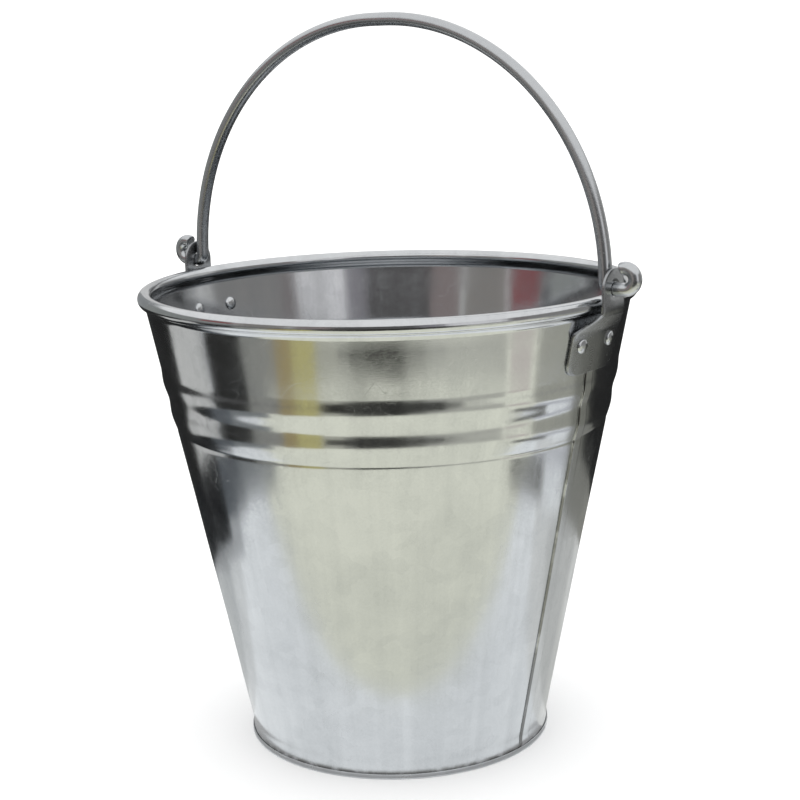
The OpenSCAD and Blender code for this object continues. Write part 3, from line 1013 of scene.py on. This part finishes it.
# Upright cards round the bucket: bearing and width in degrees, distance, lowest and highest edge
# in metres, tint and strength.
UPRIGHT_CARDS = (
    ("room_left_far", 82, 44, 1.5, 0.0, 0.90, (1.0, 0.98, 0.96), 0.27),
    ("room_left_rosy", 57, 10, 1.5, 0.0, 0.90, (1.0, 0.90, 0.90), 0.22),
    ("room_pale", 37, 27, 1.5, 0.0, 0.95, (1.0, 0.99, 1.0), 0.84),
    ("room_violet", 18, 12, 1.5, 0.0, 0.85, (0.96, 0.92, 1.0), 0.26),
    ("room_person", -6, 36, 1.4, 0.0, 0.80, (1.0, 0.97, 0.97), 0.10),
    ("room_warm", -32, 16, 1.5, 0.0, 0.85, (1.0, 0.84, 0.82), 0.26),
    ("room_gap", -42, 4, 1.5, 0.0, 0.85, (1.0, 1.0, 0.97), 0.48),
    ("room_brown", -55, 22, 1.5, 0.0, 0.85, (1.0, 0.94, 0.88), 0.27),
    ("room_gap_pale", -67, 3, 1.5, 0.0, 0.85, (1.0, 0.94, 0.92), 0.50),
    ("room_grey_left", -104, 66, 1.52, 0.0, 0.85, (0.96, 1.0, 0.97), 0.30),
    ("room_red", -79, 18, 1.5, 0.34, 0.70, (1.0, 0.36, 0.38), 0.27),
    ("room_pale_side", 116, 24, 1.5, 0.0, 0.90, (1.0, 1.0, 0.98), 0.60),
    ("room_back_pale", 180, 40, 1.5, 0.0, 0.90, (1.0, 1.0, 1.0), 0.62),
    ("room_back_left", -148, 22, 1.5, 0.0, 0.90, (0.94, 0.98, 1.0), 0.30),
)


class BUCKET_OT_stage(bpy.types.Operator):
    """Make the floor, the studio light and the camera"""
    bl_idname = "bucket.stage"
    bl_label = "Stage"

    def execute(self, context):
        colours, st = settings()[3:]
        scene = context.scene
        scene.view_settings.view_transform = "Standard"

        floor_look = bpy.data.materials.new("Pale floor")
        floor_look.use_nodes = True
        shader = floor_look.node_tree.nodes["Principled BSDF"]
        shader.inputs["Base Color"].default_value = (*colours.floor, 1)
        shader.inputs["Roughness"].default_value = 0.85
        reach, low = 12.0, -0.02 * MM
        floor = stage_mesh("floor", np.array([[-reach, -reach, low], [reach, -reach, low],
                                              [reach, reach, low], [-reach, reach, low]]),
                           np.array([[0, 1, 2, 3]]), floor_look)
        floor.visible_glossy = False

        world = bpy.data.worlds.new("Studio")
        scene.world = world
        world.use_nodes = True
        n = Nodes(world.node_tree)
        back = n.tree.nodes["Background"]
        direction = n.add("ShaderNodeTexCoord").outputs["Generated"]
        parts = n.add("ShaderNodeSeparateXYZ")
        n.link(direction, parts.inputs[0])
        # The metal sees a sky that brightens from the horizon up, and the camera an even white.
        black, white, backdrop = (0, 0, 0, 1), (1, 1, 1, 1), (1.2, 1.2, 1.2, 1)
        sky = n.spread(parts.outputs["Z"], 0.10, 0.45, 0.16, 1.0)
        seen = n.add("ShaderNodeLightPath").outputs["Is Camera Ray"]
        n.link(n.mix(seen, n.mix(sky, black, white), backdrop), back.inputs["Color"])

        lamp = bpy.data.lights.new("soft_top_light", "SUN")
        lamp.angle, lamp.energy = st.lamp_angle, st.lamp_strength
        top = bpy.data.objects.new("soft_top_light", lamp)
        top.visible_glossy = False
        scene.collection.objects.link(top)

        floor_panel("open_floor", 0.08, 6.0, -180, 180, OPEN_LIFT, (0.975, 1.0, 1.01), 1.03)
        front_card("front_card", 0.148, FRONT_LIFT, (0.995, 1.0, 0.85), 0.93)
        for k, card in enumerate(FLOOR_CARDS):
            floor_panel(*card[:5], CARD_LIFT + k * CARD_STEP, *card[5:])
        for card in UPRIGHT_CARDS:
            upright_panel(*card)

        camera_data = bpy.data.cameras.new("camera")
        camera = bpy.data.objects.new("camera", camera_data)
        scene.collection.objects.link(camera)
        scene.camera = camera
        camera_data.sensor_width = 36.0
        camera_data.angle = st.camera_fov
        yaw, pitch, roll = st.camera_yaw, st.camera_pitch, st.camera_roll
        forward = Vector((math.sin(yaw) * math.cos(pitch), math.cos(yaw) * math.cos(pitch),
                          -math.sin(pitch)))
        right = Vector((math.cos(yaw), -math.sin(yaw), 0.0))
        up = right.cross(forward)
        right, up = (right * math.cos(roll) + up * math.sin(roll),
                     up * math.cos(roll) - right * math.sin(roll))
        pose = Matrix((right, up, -forward)).transposed().to_4x4()
        pose.translation = Vector((0.0, -st.camera_distance, st.camera_height))
        camera.matrix_world = Matrix.Rotation(st.camera_azimuth, 4, "Z") @ pose
        return {"FINISHED"}


class BUCKET_PT_panel(bpy.types.Panel):
    """Lists the bucket's pieces in the sidebar"""
    bl_idname = "BUCKET_PT_panel"
    bl_label = "Florist Bucket"
    bl_space_type = "VIEW_3D"
    bl_region_type = "UI"
    bl_category = "Bucket"

    def draw(self, context):
        for operator in OPERATORS:
            self.layout.operator(operator.bl_idname)


GROUPS = {
    "bucket_sizes": BucketSizes,
    "ear_sizes": EarSizes,
    "bail_sizes": BailSizes,
    "finish_colours": FinishColours,
    "stage_sizes": StageSizes,
}
OPERATORS = (
    BUCKET_OT_finishes, BUCKET_OT_wall, BUCKET_OT_rim_core, BUCKET_OT_base, BUCKET_OT_ears,
    BUCKET_OT_rivets, BUCKET_OT_bail, BUCKET_OT_stage,
)


def register():
    """Registers the classes and hangs the settings on the scene."""
    for kind in (*GROUPS.values(), *OPERATORS, BUCKET_PT_panel):
        bpy.utils.register_class(kind)
    for name, group in GROUPS.items():
        setattr(bpy.types.Scene, name, bpy.props.PointerProperty(type=group))


def unregister():
    """Takes the settings and classes away again."""
    for name in GROUPS:
        delattr(bpy.types.Scene, name)
    for kind in reversed((*GROUPS.values(), *OPERATORS, BUCKET_PT_panel)):
        bpy.utils.unregister_class(kind)


def main():
    register()
    for operator in OPERATORS:
        group, name = operator.bl_idname.split(".")
        getattr(getattr(bpy.ops, group), name)()


if __name__ == "__main__":
    main()
